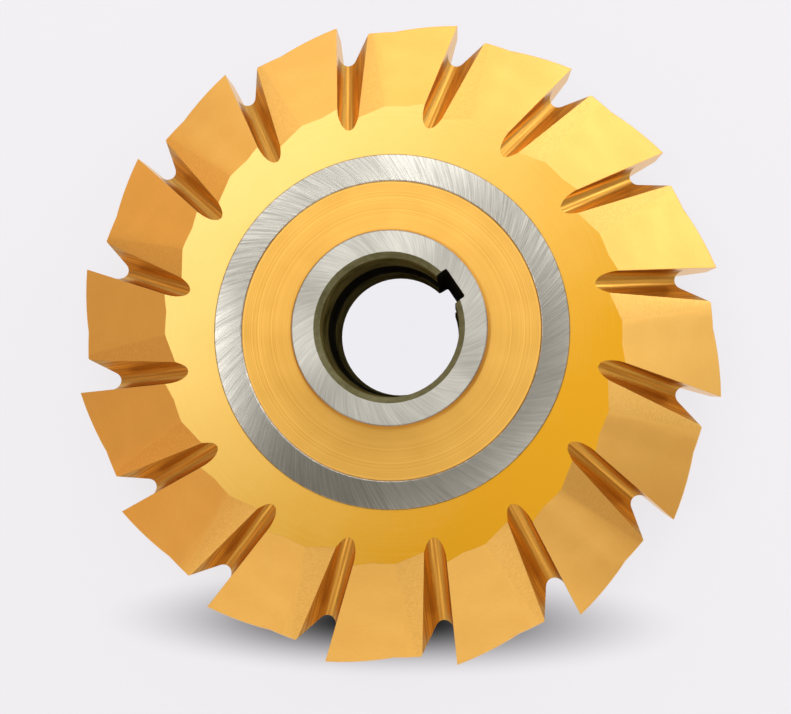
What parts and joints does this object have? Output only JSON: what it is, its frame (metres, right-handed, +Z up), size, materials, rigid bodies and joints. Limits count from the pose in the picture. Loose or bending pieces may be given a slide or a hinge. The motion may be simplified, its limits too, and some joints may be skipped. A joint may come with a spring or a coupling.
{
  "type": "gear milling cutter",
  "caption": "Disc milling cutter for worm threads and gear racks: form relieved V teeth round the rim, a keyed bore in a raised hub, and a ground ring on each side, in gold coated tool steel.",
  "frame": {"origin": "centre of the bore on the lower hub face", "axes": "+Z up along the bore axis; +X through the middle of the keyway and one cutting edge; seen from +Z the teeth cut clockwise"},
  "size_m": [0.25, 0.25, 0.054],
  "materials": {
    "gear_cutter": "satin gold titanium nitride coating, bare ground steel on the hub faces and rings"
  },
  "bodies": {
    "root": {"gear_cutter": "gear_cutter"}
  },
  "joints": []
}
